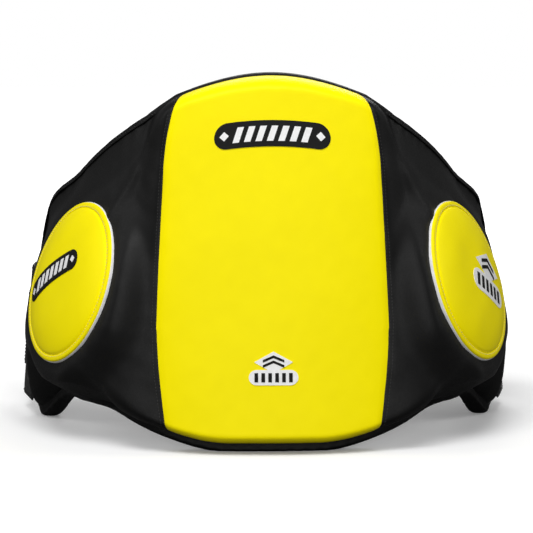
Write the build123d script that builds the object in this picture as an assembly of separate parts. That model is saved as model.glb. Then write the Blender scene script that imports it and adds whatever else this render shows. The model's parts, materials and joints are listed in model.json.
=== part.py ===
"""Belly-type kick shield: a thick curved foam pad that wraps the wearer's abdomen.

Millimetres, +Z up, the striking face towards -Y, wings running back towards +Y.
The pad is described in strip coordinates: s is the distance along the floor plan from the
centre line, z the height, and h the distance from the pad's middle sheet, outwards positive.
"""
import os
from math import cos, degrees, hypot, radians, sin, sqrt, tan

from build123d import *

# ---------------------------------------------------------------- driving dimensions
PAD_HEIGHT = 393.0          # centre of the top edge, without its binding
WING_END = 385.0            # s of the wing's rear edge
CENTRE_HALF = 110.0         # s of the seam between the centre panel and a side panel
CORNER_END = 161.0          # s where the tight corner runs out into the wing
CENTRE_RADIUS = 450.0       # plan radius of the centre panel
CORNER_RADIUS = 80.0        # plan radius of the corner between panel and wing
WING_RADIUS = 500.0         # plan radius of the wing
LEAN_CENTRE = 7.0           # backward lean in degrees, at the centre
LEAN_WING = 4.5             # inward lean of the wings

TOP_SLOPE = 0.572           # slope that the top edge settles to on the wings
TOP_CROWN = 73.0            # how softly the top edge turns over at the centre
FOOT_HALF = 45.0            # half length of the apron's straight lower edge
ARCH_NEAR = 205.0           # each lower arch is level from here
ARCH_FAR = 278.0            # to here
ARCH_RISE = 36.0
TAB_START = 364.0           # the wing touches the floor again here
TAB_ROUND = 22.0            # radius of the rear lower corner

BLOCK = 38.0                # foam block's outer face at the centre, from the middle sheet
WING_BLOCK = 51.0           # the same on the wings, at WING_BLOCK_Z
WING_BLOCK_Z = 80.0
TOP_ROLL = 14.0             # width of the rolled top edge at the centre
TOP_BEVEL = 58.0            # width of the bevel above the block on the wings
FOOT_ROLL = 12.0            # the same at the lower edge
FOOT_BEVEL = 64.0
END_ROLL = 34.0             # and at the wing's rear
BLOCK_STEP = 50.0           # the block thickens to the wing's over this length past the seam
WING_TAPER = 0.16           # the wing block thins by this much per millimetre of height
BACK = 22.0                 # lining face, from the middle sheet
EDGE = 7.0                  # half thickness of the sewn edge
END_EDGE = 20.0             # the outer side of the edge thickens to this at the wing's rear
SKIN = 1.2                  # cover leather
GAP = 0.4                   # clear space between neighbouring covers and tapes
FOAM_GAP = 0.8              # clear space between foam and its cover
PLY_GAP = 0.6               # half the clear space between the two foam plies
TOP_LIP = 6.0               # binding lip over the top edge, front side
FOOT_LIP = 10.0             # binding lip at the lower edge
END_FLANGE = 30.0           # flat sewn margin at the wing's rear edge
BIND = 1.6                  # binding tape thickness
END_LIP = 8.0               # binding lip over the rear edge

PATCH_S = 229.0             # target patch centre
PATCH_Z = 168.0
PATCH_LIFT = 5.0            # the patch's base plane stands this far off the block there
PATCH_TURN = 61.7           # the plane's normal in degrees: turned from the front towards the side
PATCH_TILT = 17.5           # and tilted up
PATCH_ROOT = 34.0           # the patch reaches this far below its plane, down to the block
PATCH_RADIUS = 88.5
PATCH_CROWN = 13.0
PATCH_FLANGE = 7.0
WELT = 3.0
WELT_TOP = 2.0              # top of the piping over the patch's plane

BELT_LOW = 18.0
BELT_HIGH = 168.0
BELT_THICK = 3.0
BELT_LIFT = 23.9            # h of the belt's middle where it lies on the wing
HINGE_S = 391.0             # s of the belt's fold line, just behind the rear binding
FOLD_GAP = 2.2              # clear length each side of the fold line
ANCHOR_LENGTH = 32.0
RING_BELT_RUNS = [(12.0, 0.0), (14.0, 13.8), (34.0, 0.0)]
STRAP_RUNS = [(18.0, 0.0), (79.4, 65.0), (100.0, 0.0)]
RING_HEIGHT = 116.0
RING_LENGTH = 24.0
RING_WIRE = 2.5             # radius of the ring's wire
TONGUE_LENGTH = 86.0
TONGUE_HEIGHT = 96.0
RIVET_RADIUS = 7.0


def smooth(t):
    t = min(max(t, 0.0), 1.0)
    return t * t * (3 - 2 * t)


def soft_min(a, b, k=0.3):
    t = min(max(0.5 + 0.5 * (b - a) / k, 0.0), 1.0)
    return b + (a - b) * t - k * t * (1 - t)


# ---------------------------------------------------------------- the pad's middle sheet
ARCS = [(CENTRE_HALF, CENTRE_RADIUS), (CORNER_END - CENTRE_HALF, CORNER_RADIUS), (1000.0, WING_RADIUS)]


def plan(s):
    """Floor-plan point and heading of the middle sheet at s, right side."""
    x, y, heading, rest = 0.0, 0.0, 0.0, abs(s)
    for length, radius in ARCS:
        run = min(rest, length)
        turned = heading + run / radius
        x += radius * (sin(turned) - sin(heading))
        y += radius * (cos(heading) - cos(turned))
        heading = turned
        rest -= run
        if rest <= 0:
            break
    side = 1 if s >= 0 else -1
    return side * x, y, side * heading


def lean(s):
    return radians(LEAN_CENTRE + (LEAN_WING - LEAN_CENTRE) * smooth(abs(s) / 250.0))


def place(s, z, h):
    """Point at strip coordinates (s, z, h)."""
    x, y, heading = plan(s)
    reach = h - tan(lean(s)) * z
    return Vector(x + sin(heading) * reach, y - cos(heading) * reach, z)


def top_edge(s):
    return PAD_HEIGHT + TOP_CROWN - sqrt(TOP_CROWN**2 + (TOP_SLOPE * s) ** 2)


def low_edge(s):
    s = abs(s)
    near = smooth((s - FOOT_HALF) / (ARCH_NEAR - FOOT_HALF))
    far = smooth((TAB_START - s) / (TAB_START - ARCH_FAR))
    rise = ARCH_RISE * min(near, far)
    round_start = WING_END - TAB_ROUND
    if s > round_start:
        rise += TAB_ROUND - sqrt(TAB_ROUND**2 - min(s - round_start, TAB_ROUND) ** 2)
    return rise


def side_share(s):
    """0 on the centre panel, 1 on the wing."""
    return smooth((abs(s) - CENTRE_HALF + 5.0) / 100.0)


def fullness(s, z):
    """0 on the sewn edge, 1 on the block's face."""
    side = side_share(s)
    from_top = (top_edge(s) - z - TOP_LIP) / (TOP_ROLL + (TOP_BEVEL - TOP_ROLL) * side)
    from_low = (z - low_edge(s) - FOOT_LIP) / (FOOT_ROLL + (FOOT_BEVEL - FOOT_ROLL) * side)
    from_end = (WING_END - abs(s) - END_FLANGE) / END_ROLL
    blend = 0.3 - 0.12 * side
    level = soft_min(soft_min(min(from_top, 1.6), min(from_low, 1.6), blend), min(from_end, 1.6), blend)
    level = soft_min(level, 1.0, blend)
    level = min(max(level, 0.0), 1.0)
    rolled = sqrt(1 - (1 - level) ** 2)
    return rolled + (level - rolled) * 0.85 * side


def edge_height(s):
    """Outer side of the sewn edge: thin at the front, blunt at the wing's rear."""
    return EDGE + (END_EDGE - EDGE) * smooth((abs(s) - 290.0) / 60.0)


def face_height(s, z):
    wing = WING_BLOCK - (z - WING_BLOCK_Z) * WING_TAPER
    block = BLOCK + (wing - BLOCK) * smooth((abs(s) - CENTRE_HALF + 5.0) / BLOCK_STEP)
    return edge_height(s) + (block - edge_height(s)) * fullness(s, z)


def back_height(s, z):
    edge = min(top_edge(s) - z - TOP_LIP, z - low_edge(s) - FOOT_LIP, WING_END - abs(s) - END_FLANGE)
    return -EDGE - (BACK - EDGE) * smooth(edge / 26.0)


# ---------------------------------------------------------------- section building
STEPS = [0, 0.012, 0.03, 0.055, 0.085, 0.12, 0.17, 0.25, 0.38, 0.52, 0.66, 0.77, 0.85, 0.9, 0.94, 0.97, 1]


def profile(s, height, offset, inset=GAP):
    """(h, z) points up one face of the section at s, moved towards the middle by offset."""
    low = low_edge(s) + FOOT_LIP + inset
    high = top_edge(s) - TOP_LIP - inset
    way = 1 if height(s, (low + high) / 2) > 0 else -1
    points = []
    for t in STEPS:
        z = low + t * (high - low)
        slope = height(s, z + 0.5) - height(s, z - 0.5)
        size = hypot(slope, 1.0)
        points.append((height(s, z) - way * offset / size, z + way * offset * slope / size))
    return points


def section(s, outer, inner):
    """Planar closed section at s between two (h, z) curves; a pair of points is a straight side."""
    edges = []
    ends = []
    for curve in (outer, inner):
        points = [place(s, z, h) for h, z in curve]
        edges.append(Spline(*points) if len(points) > 2 else Line(*points))
        ends.append((points[0], points[-1]))
    edges.append(Line(ends[0][1], ends[1][1]))
    edges.append(Line(ends[0][0], ends[1][0]))
    return Face(Wire(edges))


def strip(stations, curves):
    return loft([section(s, *curves(s)) for s in stations])


def straight(s, h, inset=GAP):
    return [(h, low_edge(s) + FOOT_LIP + inset), (h, top_edge(s) - TOP_LIP - inset)]


def outer_foam(s):
    return profile(s, face_height, SKIN + FOAM_GAP, FOAM_GAP), straight(s, PLY_GAP, FOAM_GAP)


def inner_foam(s):
    return profile(s, back_height, SKIN + FOAM_GAP, FOAM_GAP), straight(s, -PLY_GAP, FOAM_GAP)


def outer_skin(s):
    return profile(s, face_height, 0.0), profile(s, face_height, SKIN)


def inner_skin(s):
    return profile(s, back_height, 0.0), profile(s, back_height, SKIN)


def blank(s):
    return profile(s, face_height, -GAP), straight(s, -2.0)


def mirrored(shape):
    return mirror(shape, about=Plane.YZ)


CENTRE_STATIONS = [-CENTRE_HALF, -80, -40, 0, 40, 80, CENTRE_HALF]
WING_STATIONS = [CENTRE_HALF + GAP, 122, 135, 148, 161, 185, 215, 250, 285, 310, 330, 345, 360]
WING_STATIONS.append(WING_END - END_LIP - GAP)
TAPE_STATIONS = WING_STATIONS[:-1] + [368, 375, 380, 384, WING_END + BIND]
EDGE_STATIONS = [-s for s in reversed(TAPE_STATIONS)] + CENTRE_STATIONS[1:-1] + TAPE_STATIONS


# ---------------------------------------------------------------- edge bindings
def band(corners):
    """Planar four-cornered section from (s, z, h) corners."""
    points = [place(*corner) for corner in corners]
    return Face(Wire(Polyline(*points, close=True)))


def edge_section(s, edge, way, lip):
    """Tape folded over the sewn edge at height edge(s); way is +1 on the top edge."""
    tip = edge(s) + way * BIND
    lip_end = edge(s) - way * lip
    outer = edge_height(s) + BIND
    inner = -EDGE - BIND
    return band([(s, lip_end, outer), (s, tip, outer), (s, tip, inner), (s, lip_end, inner)])


def make_edge_binding(edge, way, lip):
    return loft([edge_section(s, edge, way, lip) for s in EDGE_STATIONS])


def make_end_binding():
    """Tape over the wing's blunt rear edge, between the top and lower tapes."""
    near = WING_END - END_LIP
    far = WING_END + BIND
    low = low_edge(far) + FOOT_LIP + GAP
    high = top_edge(far) - TOP_LIP - GAP
    outer = END_EDGE + BIND
    inner = -EDGE - BIND
    levels = [low, (low + high) / 2, high]
    corners = [(near, outer), (far, outer), (far, inner), (near, inner)]
    return loft([band([(s, z, h) for s, h in corners]) for z in levels])


# ---------------------------------------------------------------- target patches
def patch_plane():
    turn = radians(PATCH_TURN)
    tilt = radians(PATCH_TILT)
    out = Vector(sin(turn) * cos(tilt), -cos(turn) * cos(tilt), sin(tilt))
    base = place(PATCH_S, PATCH_Z, face_height(PATCH_S, PATCH_Z))
    return Plane(origin=base + out * PATCH_LIFT, x_dir=Vector(cos(turn), sin(turn), 0), z_dir=out)


def dome(radius, lift, crown, flange):
    """Round body with a flat sewn flange and a crowned middle, from below the face up."""
    shoulder = radius - flange
    with BuildPart() as body:
        with BuildSketch(Plane.XZ):
            with BuildLine():
                Line((0, -PATCH_ROOT), (radius, -PATCH_ROOT))
                Line((radius, -PATCH_ROOT), (radius, lift))
                Line((radius, lift), (shoulder, lift))
                Spline((shoulder, lift), (shoulder - 9, crown * 0.72), (shoulder * 0.45, crown * 0.96),
                       (0, crown), tangents=((-0.35, 1), (-1, 0)))
                Line((0, crown), (0, -PATCH_ROOT))
            make_face()
        revolve(axis=Axis.Z)
    return body.part


def make_patch(wing_blank):
    plane = patch_plane()
    shell = dome(PATCH_RADIUS, 3.0, PATCH_CROWN, PATCH_FLANGE)
    filling = dome(PATCH_RADIUS - PATCH_FLANGE - 0.5, 1.0, PATCH_CROWN - SKIN - GAP, 2.0)
    ring = Cylinder(PATCH_RADIUS + WELT, PATCH_ROOT, align=(Align.CENTER, Align.CENTER, Align.MAX))
    ring = Pos(0, 0, WELT_TOP) * (ring - Cylinder(PATCH_RADIUS + GAP, 3 * PATCH_ROOT))
    cavity = dome(PATCH_RADIUS - PATCH_FLANGE - 0.2, 1.0 + GAP, PATCH_CROWN - SKIN, 2.0)
    parts = {
        "cover": plane * (shell - cavity) - wing_blank,
        "foam": plane * filling - wing_blank,
        "welt": plane * ring - wing_blank,
    }
    for name, shape in parts.items():
        parts[name] = shape.solids().sort_by(SortBy.VOLUME)[-1]
    badge = Pos(0, 0, PATCH_CROWN + 0.35) * extrude(Ellipse(34, 17), 0.6)
    parts["badge"] = plane * badge
    return parts


# ---------------------------------------------------------------- emblems on the centre panel
def face_badge(half_width, low, high, outline):
    """Thin badge that follows the centre panel, cut to an outline seen from the front."""
    stations = [-half_width, -half_width / 2, 0, half_width / 2, half_width]
    levels = [low + t * (high - low) / 4 for t in range(5)]

    def curves(s):
        near = [(face_height(s, z) + 0.9, z) for z in levels]
        far = [(face_height(s, z) + 0.3, z) for z in levels]
        return near, far

    slab = strip(stations, curves)
    cutter = extrude(Plane.XZ * outline, 120, both=True)
    return slab & cutter


# ---------------------------------------------------------------- belts
def belt_frame():
    """Fold line of the right belt: x back along the wing, y inwards, z up the leaning wing."""
    foot = place(HINGE_S, 0, BELT_LIFT)
    head = place(HINGE_S, 100, BELT_LIFT)
    heading = plan(HINGE_S)[2]
    back = Vector(cos(heading), sin(heading), 0)
    return Plane(origin=foot, x_dir=back, z_dir=(head - foot).normalized())


def walk(runs, start=0.0):
    """Corner points of a route of (length, turn) runs, as (x, y, heading in radians)."""
    x, y, heading = start, 0.0, 0.0
    stops = [(x, y, heading)]
    for length, turn in runs:
        turn = radians(turn)
        if turn:
            radius = length / turn
            x += radius * (sin(heading + turn) - sin(heading))
            y += radius * (cos(heading) - cos(heading + turn))
            heading += turn
        else:
            x += length * cos(heading)
            y += length * sin(heading)
        stops.append((x, y, heading))
    return stops


def shifted(stop, side):
    x, y, heading = stop
    return x - sin(heading) * side, y + cos(heading) * side


def ribbon(runs, low_side, high_side, low, high, start=0.0):
    """Standing strap along a route, between two distances to the left of it and two heights."""
    stops = walk(runs, start)
    edges = []
    for side in (low_side, high_side):
        for (length, turn), first, last in zip(runs, stops, stops[1:]):
            a = shifted(first, side)
            b = shifted(last, side)
            if turn:
                middle = walk([(length / 2, turn / 2)])[-1]
                cx = first[0] + middle[0] * cos(first[2]) - middle[1] * sin(first[2])
                cy = first[1] + middle[0] * sin(first[2]) + middle[1] * cos(first[2])
                edges.append(ThreePointArc(a, shifted((cx, cy, first[2] + middle[2]), side), b))
            else:
                edges.append(Line(a, b))
    edges.append(Line(shifted(stops[0], low_side), shifted(stops[0], high_side)))
    edges.append(Line(shifted(stops[-1], low_side), shifted(stops[-1], high_side)))
    return Pos(0, 0, low) * extrude(Face(Wire(edges)), high - low)


def make_anchor():
    return Pos(-FOLD_GAP - ANCHOR_LENGTH, 0, 0) * ribbon(
        [(ANCHOR_LENGTH, 0.0)], -BELT_THICK / 2, BELT_THICK / 2, BELT_LOW, BELT_HIGH
    )


def make_rivets():
    """Three domed caps in a column on the anchor."""
    seat = (Align.CENTER, Align.CENTER, Align.MIN)
    rivets = []
    for z in (BELT_LOW + 26, (BELT_LOW + BELT_HIGH) / 2, BELT_HIGH - 26):
        cap = Cylinder(RIVET_RADIUS, 1.4, align=seat)
        cap += Pos(0, 0, 1.4) * Cone(RIVET_RADIUS, RIVET_RADIUS * 0.55, 1.4, align=seat)
        rivets.append(Pos(-FOLD_GAP - ANCHOR_LENGTH / 2, -BELT_THICK / 2 - 0.1, z) * Rot(90, 0, 0) * cap)
    return rivets


def ring_centre():
    """Middle of the ring's near side bar, at the end of its belt, and the belt's heading there."""
    x, y, heading = walk(RING_BELT_RUNS, FOLD_GAP)[-1]
    reach = 9.0
    return x + cos(heading) * reach, y + sin(heading) * reach, heading


def make_ring():
    """Closed rectangular wire ring; its near bar stands on the local Z axis."""
    middle = (BELT_LOW + BELT_HIGH) / 2
    outline = Plane.XZ * Pos(RING_LENGTH / 2, 0, 0) * RectangleRounded(RING_LENGTH, RING_HEIGHT, 6)
    path = outline.wire()
    ring = sweep(Plane(origin=path @ 0, z_dir=path % 0) * Circle(RING_WIRE), path)
    x, y, heading = ring_centre()
    return Pos(x, y, middle) * Rot(0, 0, degrees(heading)) * ring


def make_ring_loop():
    """Webbing loop round the ring's near bar, sewn to both faces of the belt's end."""
    x, y, heading = ring_centre()
    middle = (BELT_LOW + BELT_HIGH) / 2
    bore = RING_WIRE + 0.35
    wall = 1.5
    tail = 30.0
    half = RING_HEIGHT / 2 - 14
    body = Cylinder(bore + wall, 2 * half)
    body += Pos(-tail / 2, 0, 0) * Box(tail, 2 * (bore + wall), 2 * half)
    body -= Cylinder(bore, 2 * half + 2)
    body -= Pos(-tail / 2 - 4, 0, 0) * Box(tail + 8, BELT_THICK + 2 * 0.15, 2 * half + 2)
    return Pos(x, y, middle) * Rot(0, 0, degrees(heading)) * body


def tongue_frame():
    """Fold line of the tongue at the strap's free end."""
    x, y, heading = walk(STRAP_RUNS, FOLD_GAP)[-1]
    x, y = shifted((x + 3.0 * cos(heading), y + 3.0 * sin(heading), heading), -2.575)
    return Pos(x, y, 0) * Rot(0, 0, degrees(heading))


def make_tongue():
    middle = (BELT_LOW + BELT_HIGH) / 2
    flap = Box(TONGUE_LENGTH, BELT_THICK, TONGUE_HEIGHT)
    return tongue_frame() * Pos(-2.0 - TONGUE_LENGTH / 2, -2.575, middle) * flap


def make_hook_field():
    middle = (BELT_LOW + BELT_HIGH) / 2
    field = Box(TONGUE_LENGTH - 22, 0.8, TONGUE_HEIGHT - 14)
    return tongue_frame() * Pos(-TONGUE_LENGTH / 2 - 7.0, -0.575, middle) * field


# ---------------------------------------------------------------- build every node
def export(shape, node):
    export_step(shape, f"parts/{node}.step")


def centred(shape):
    return Pos(0, -DEPTH_CENTRE, 0) * shape


nodes = {}
nodes["centre_foam_outer"] = strip(CENTRE_STATIONS, outer_foam)
nodes["centre_foam_inner"] = strip(CENTRE_STATIONS, inner_foam)
nodes["front_cover_panel"] = strip(CENTRE_STATIONS, outer_skin)
nodes["lining_centre"] = strip(CENTRE_STATIONS, inner_skin)
right_foam = strip(WING_STATIONS, outer_foam)
right_foam_inner = strip(WING_STATIONS, inner_foam)
right_cover = strip(WING_STATIONS, outer_skin)
right_blank = strip(WING_STATIONS, blank)
right_end = make_end_binding()
right_patch = make_patch(right_blank)
pairs = {
    "wing_foam_outer": right_foam,
    "wing_foam_inner": right_foam_inner,
    "side_cover": right_cover,
    "lining": strip(WING_STATIONS, inner_skin),
    "end_binding": right_end,
    "patch_foam": right_patch["foam"],
    "patch_cover": right_patch["cover"],
    "patch_welt": right_patch["welt"],
    "patch_badge": right_patch["badge"],
}
belt_place = belt_frame()
pairs["belt_anchor"] = belt_place * make_anchor()
pairs["anchor_rivets"] = Compound([belt_place * rivet for rivet in make_rivets()])
for name, shape in pairs.items():
    nodes[f"{name}_right"] = shape
    nodes[f"{name}_left"] = mirrored(shape)

below_floor = Pos(0, 0, -50) * Box(900, 900, 100)
nodes["top_binding"] = make_edge_binding(top_edge, 1, TOP_LIP)
nodes["bottom_binding"] = make_edge_binding(low_edge, -1, FOOT_LIP) - below_floor
nodes["upper_emblem"] = face_badge(60, 310, 345, Pos(0, 327) * SlotOverall(112, 26))
nodes["lower_emblem"] = face_badge(32, 62, 112, Pos(0, 86) * RegularPolygon(23, 6))

nodes["ring_belt"] = mirrored(
    belt_place * ribbon(RING_BELT_RUNS, -BELT_THICK / 2, BELT_THICK / 2, BELT_LOW, BELT_HIGH, FOLD_GAP)
)
nodes["ring_loop"] = mirrored(belt_place * make_ring_loop())
nodes["steel_ring"] = mirrored(belt_place * make_ring())
nodes["strap_belt"] = belt_place * ribbon(
    STRAP_RUNS, -BELT_THICK / 2, BELT_THICK / 2, BELT_LOW, BELT_HIGH, FOLD_GAP
)
field_runs = [(STRAP_RUNS[-1][0] - 6, 0.0)]
corner = walk(STRAP_RUNS[:-1], FOLD_GAP)[-1]
field_place = Pos(corner[0], corner[1], 0) * Rot(0, 0, degrees(corner[2]))
loop_field = ribbon(field_runs, -2.4, -1.6, BELT_LOW + 20, BELT_HIGH - 20, 2.0)
nodes["loop_field"] = belt_place * field_place * loop_field
nodes["strap_tongue"] = belt_place * make_tongue()
nodes["hook_field"] = belt_place * make_hook_field()

box = Compound([shape for shape in nodes.values()]).bounding_box()
DEPTH_CENTRE = (box.min.Y + box.max.Y) / 2
print("box", box, "centre", DEPTH_CENTRE)
fold = centred(belt_place.location).position
up = belt_place.z_dir
print("right belt fold", fold, "axis", up)
print("tongue fold", centred(Location(belt_place) * tongue_frame()).position)
ring_x, ring_y, ring_heading = ring_centre()
print("ring bar", centred(Location(belt_place) * Pos(ring_x, ring_y, 0)).position, "mirror x")

os.makedirs("parts", exist_ok=True)
for node, shape in nodes.items():
    export(centred(shape), node)
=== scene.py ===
"""Looks of a belly-type kick shield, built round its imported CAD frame.

Strip coordinates, in millimetres: s runs along the floor plan from the centre line, z is the
height, and h is the distance outwards from the pad's middle sheet. place() turns them into
metres in the row frame. Every mesh is made from grids of such points.
"""
import json
from math import cos, pi, radians, sin, sqrt

import bmesh
import bpy
import numpy as np
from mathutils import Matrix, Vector


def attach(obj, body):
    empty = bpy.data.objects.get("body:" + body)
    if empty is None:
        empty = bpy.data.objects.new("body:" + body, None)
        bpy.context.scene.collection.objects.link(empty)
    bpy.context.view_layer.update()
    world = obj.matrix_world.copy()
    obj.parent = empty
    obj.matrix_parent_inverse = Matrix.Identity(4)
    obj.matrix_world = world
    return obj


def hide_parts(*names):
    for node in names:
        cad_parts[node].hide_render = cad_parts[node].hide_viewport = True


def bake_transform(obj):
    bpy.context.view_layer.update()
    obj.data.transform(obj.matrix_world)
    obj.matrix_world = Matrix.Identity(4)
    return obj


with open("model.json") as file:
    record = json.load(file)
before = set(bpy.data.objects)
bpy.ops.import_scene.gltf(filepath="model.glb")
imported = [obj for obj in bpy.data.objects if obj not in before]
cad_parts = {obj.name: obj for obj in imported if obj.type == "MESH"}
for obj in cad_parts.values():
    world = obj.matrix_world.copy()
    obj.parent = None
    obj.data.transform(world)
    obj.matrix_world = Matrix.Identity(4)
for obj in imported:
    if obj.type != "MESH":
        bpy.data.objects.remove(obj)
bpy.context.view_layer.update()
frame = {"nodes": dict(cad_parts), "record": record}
MM = 0.001
ORIGIN = next(m for m in frame["record"]["mounts"] if m["name"] == "apron_rest")["pos_m"]

# ---------------------------------------------------------------- the CAD model's dimensions
PAD_HEIGHT = 393.0
WING_END = 385.0
ARCS = [(110.0, 450.0), (51.0, 80.0), (1000.0, 500.0)]      # (length, radius) of the floor plan
CENTRE_HALF = 110.0
LEAN_CENTRE = 7.0
LEAN_WING = 4.5
TOP_SLOPE = 0.572
TOP_CROWN = 73.0
FOOT_HALF = 45.0
ARCH_NEAR, ARCH_FAR = 205.0, 278.0
ARCH_RISE = 36.0
TAB_START = 364.0
TAB_ROUND = 22.0
BLOCK = 38.0
WING_BLOCK = 51.0
WING_BLOCK_Z = 80.0
WING_TAPER = 0.16
BLOCK_STEP = 50.0
TOP_ROLL, TOP_BEVEL = 14.0, 58.0
FOOT_ROLL, FOOT_BEVEL = 12.0, 64.0
END_ROLL = 34.0
BACK = 22.0
EDGE = 7.0
END_EDGE = 20.0
TOP_LIP = 6.0
FOOT_LIP = 10.0
END_LIP = 8.0
END_FLANGE = 30.0
BIND = 1.6
SKIN = 1.2
PATCH_S, PATCH_Z = 229.0, 168.0
PATCH_LIFT = 5.0
PATCH_TURN, PATCH_TILT = radians(61.7), radians(17.5)
PATCH_RADIUS = 88.5
PATCH_CROWN = 13.0
PATCH_FLANGE = 7.0
BELT_LOW, BELT_HIGH = 18.0, 168.0
BELT_MIDDLE = (BELT_LOW + BELT_HIGH) / 2
BELT_THICK = 3.0
BELT_LIFT = 23.9
HINGE_S = 391.0
FOLD_GAP = 2.2
ANCHOR_LENGTH = 32.0
RING_BELT_RUNS = [(12.0, 0.0), (14.0, 13.8), (34.0, 0.0)]
STRAP_RUNS = [(18.0, 0.0), (79.4, 65.0), (100.0, 0.0)]
RING_HEIGHT = 116.0
RING_WIRE = 2.5
TONGUE_LENGTH = 86.0
TONGUE_HEIGHT = 96.0
TONGUE_OFFSET = 2.575

# ---------------------------------------------------------------- sewing details
TOP_ROUND = 60.0            # radius of the wing's upper rear corner
LIP_STEP = 4.2              # how much narrower the top tape's front lip is at the centre
UNDER_TAPE = 3.2            # the covers stop this far inside the edge, under the tape
TAPE_THICK = 1.1
TAPE_CAP = 4.5              # depth of the tape's rounded back
STITCH_PITCH = 4.0
STITCH_LENGTH = 2.9
STITCH_RADIUS = 0.36


def smooth(t):
    t = np.clip(t, 0.0, 1.0)
    return t * t * (3 - 2 * t)


def soft_min(a, b, k):
    t = np.clip(0.5 + 0.5 * (b - a) / k, 0.0, 1.0)
    return b + (a - b) * t - k * t * (1 - t)


def bell(distance, width):
    return np.exp(-((distance / width) ** 2))


def waves(s, z, seed, length, count=7):
    """Gentle random undulation of about unit height."""
    rng = np.random.default_rng(seed)
    total = np.zeros(np.broadcast(s, z).shape)
    for _ in range(count):
        angle = rng.uniform(0, pi)
        size = length * rng.uniform(0.6, 1.7)
        total += np.sin(2 * pi * (s * cos(angle) + z * sin(angle)) / size + rng.uniform(0, 2 * pi))
    return total / sqrt(count)


# ---------------------------------------------------------------- the pad's shape
def plan(s):
    rest = np.abs(s)
    x = np.zeros_like(rest)
    y = np.zeros_like(rest)
    heading = np.zeros_like(rest)
    for length, radius in ARCS:
        run = np.minimum(rest, length)
        turned = heading + run / radius
        x = x + radius * (np.sin(turned) - np.sin(heading))
        y = y + radius * (np.cos(heading) - np.cos(turned))
        heading = turned
        rest = rest - run
    side = np.where(s < 0, -1.0, 1.0)
    return side * x, y, side * heading


def spot(s, z, h):
    """Point at strip coordinates, in millimetres from the middle of the apron's foot."""
    s, z, h = np.broadcast_arrays(*(np.asarray(v, float) for v in (s, z, h)))
    x, y, heading = plan(s)
    lean = np.radians(LEAN_CENTRE + (LEAN_WING - LEAN_CENTRE) * smooth(np.abs(s) / 250.0))
    reach = h - np.tan(lean) * z
    return np.stack([x + np.sin(heading) * reach, y - np.cos(heading) * reach, z], axis=-1)


def metres(points):
    return np.asarray(points) * MM + np.array(ORIGIN)


def place(s, z, h):
    return metres(spot(s, z, h))


def top_edge(s):
    return PAD_HEIGHT + TOP_CROWN - np.sqrt(TOP_CROWN**2 + (TOP_SLOPE * s) ** 2)


def low_edge(s):
    s = np.abs(s)
    near = smooth((s - FOOT_HALF) / (ARCH_NEAR - FOOT_HALF))
    far = smooth((TAB_START - s) / (TAB_START - ARCH_FAR))
    corner = np.clip(s - (WING_END - TAB_ROUND), 0, TAB_ROUND)
    return ARCH_RISE * np.minimum(near, far) + TAB_ROUND - np.sqrt(TAB_ROUND**2 - corner**2)


def top_line(s):
    """The top edge with the wing's upper rear corner rounded."""
    corner = np.clip(np.abs(s) - (WING_END - TOP_ROUND), 0, TOP_ROUND)
    return top_edge(s) - TOP_ROUND + np.sqrt(TOP_ROUND**2 - corner**2)


def side_share(s):
    return smooth((np.abs(s) - CENTRE_HALF + 5.0) / 100.0)


def front_lip(s):
    """The top tape's front lip, narrower where the yellow panel rolls over it."""
    return TOP_LIP - LIP_STEP * (1 - smooth((np.abs(s) - 95.0) / 50.0))


def bevel_level(s, z):
    """0 on the sewn edge and 1 on the block's face, before rounding."""
    side = side_share(s)
    blend = 0.3 - 0.12 * side
    from_top = (top_edge(s) - z - front_lip(s)) / (TOP_ROLL + (TOP_BEVEL - TOP_ROLL) * side)
    from_low = (z - low_edge(s) - FOOT_LIP) / (FOOT_ROLL + (FOOT_BEVEL - FOOT_ROLL) * side)
    from_end = (WING_END - np.abs(s) - END_FLANGE) / END_ROLL
    level = soft_min(np.minimum(from_top, 1.6), np.minimum(from_low, 1.6), blend)
    level = soft_min(level, np.minimum(from_end, 1.6), blend)
    return np.clip(soft_min(level, 1.0, blend), 0.0, 1.0)


def edge_height(s, z):
    """Outer side of the sewn edge: thin along the foot and the front, blunt up the wing's rear."""
    blunt = smooth((np.abs(s) - 290.0) / 60.0) * smooth((z - low_edge(s) + 14.0) / 40.0)
    return EDGE + (END_EDGE - EDGE) * blunt


def face_height(s, z):
    level = bevel_level(s, z)
    rolled = np.sqrt(1 - (1 - level) ** 2)
    fullness = rolled + (level - rolled) * 0.85 * side_share(s)
    wing = WING_BLOCK - (z - WING_BLOCK_Z) * WING_TAPER
    block = BLOCK + (wing - BLOCK) * smooth((np.abs(s) - CENTRE_HALF + 5.0) / BLOCK_STEP)
    return edge_height(s, z) + (block - edge_height(s, z)) * fullness


def back_height(s, z):
    edge = np.minimum(top_line(s) - z - TOP_LIP, z - low_edge(s) - FOOT_LIP)
    edge = np.minimum(edge, WING_END - np.abs(s) - END_FLANGE)
    return -EDGE - (BACK - EDGE) * smooth(edge / 26.0)


def seam_at(z):
    """s of the seam between the yellow panel and a side cover, a slight barrel."""
    above = 115.5 - 4.0 * ((z - 130.0) / 220.0) ** 2 - 7.0 * (np.clip(z - 295.0, 0, 80) / 62.0) ** 2
    below = 115.5 - 2.0 * ((130.0 - z) / 110.0) ** 2 - 8.5 * (np.clip(150.0 - z, 0, 150) / 125.0) ** 1.6
    return np.where(z > 130.0, above, below)


# ---------------------------------------------------------------- the target patch's plane
def patch_axes():
    """Centre, along, up and outward directions of the right patch."""
    along = np.array([cos(PATCH_TURN), sin(PATCH_TURN), 0.0])
    level = np.array([sin(PATCH_TURN), -cos(PATCH_TURN), 0.0])
    out = level * cos(PATCH_TILT) + np.array([0.0, 0.0, sin(PATCH_TILT)])
    base = spot(PATCH_S, PATCH_Z, face_height(PATCH_S, PATCH_Z))
    return base + out * PATCH_LIFT, along, np.cross(out, along), out


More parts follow.
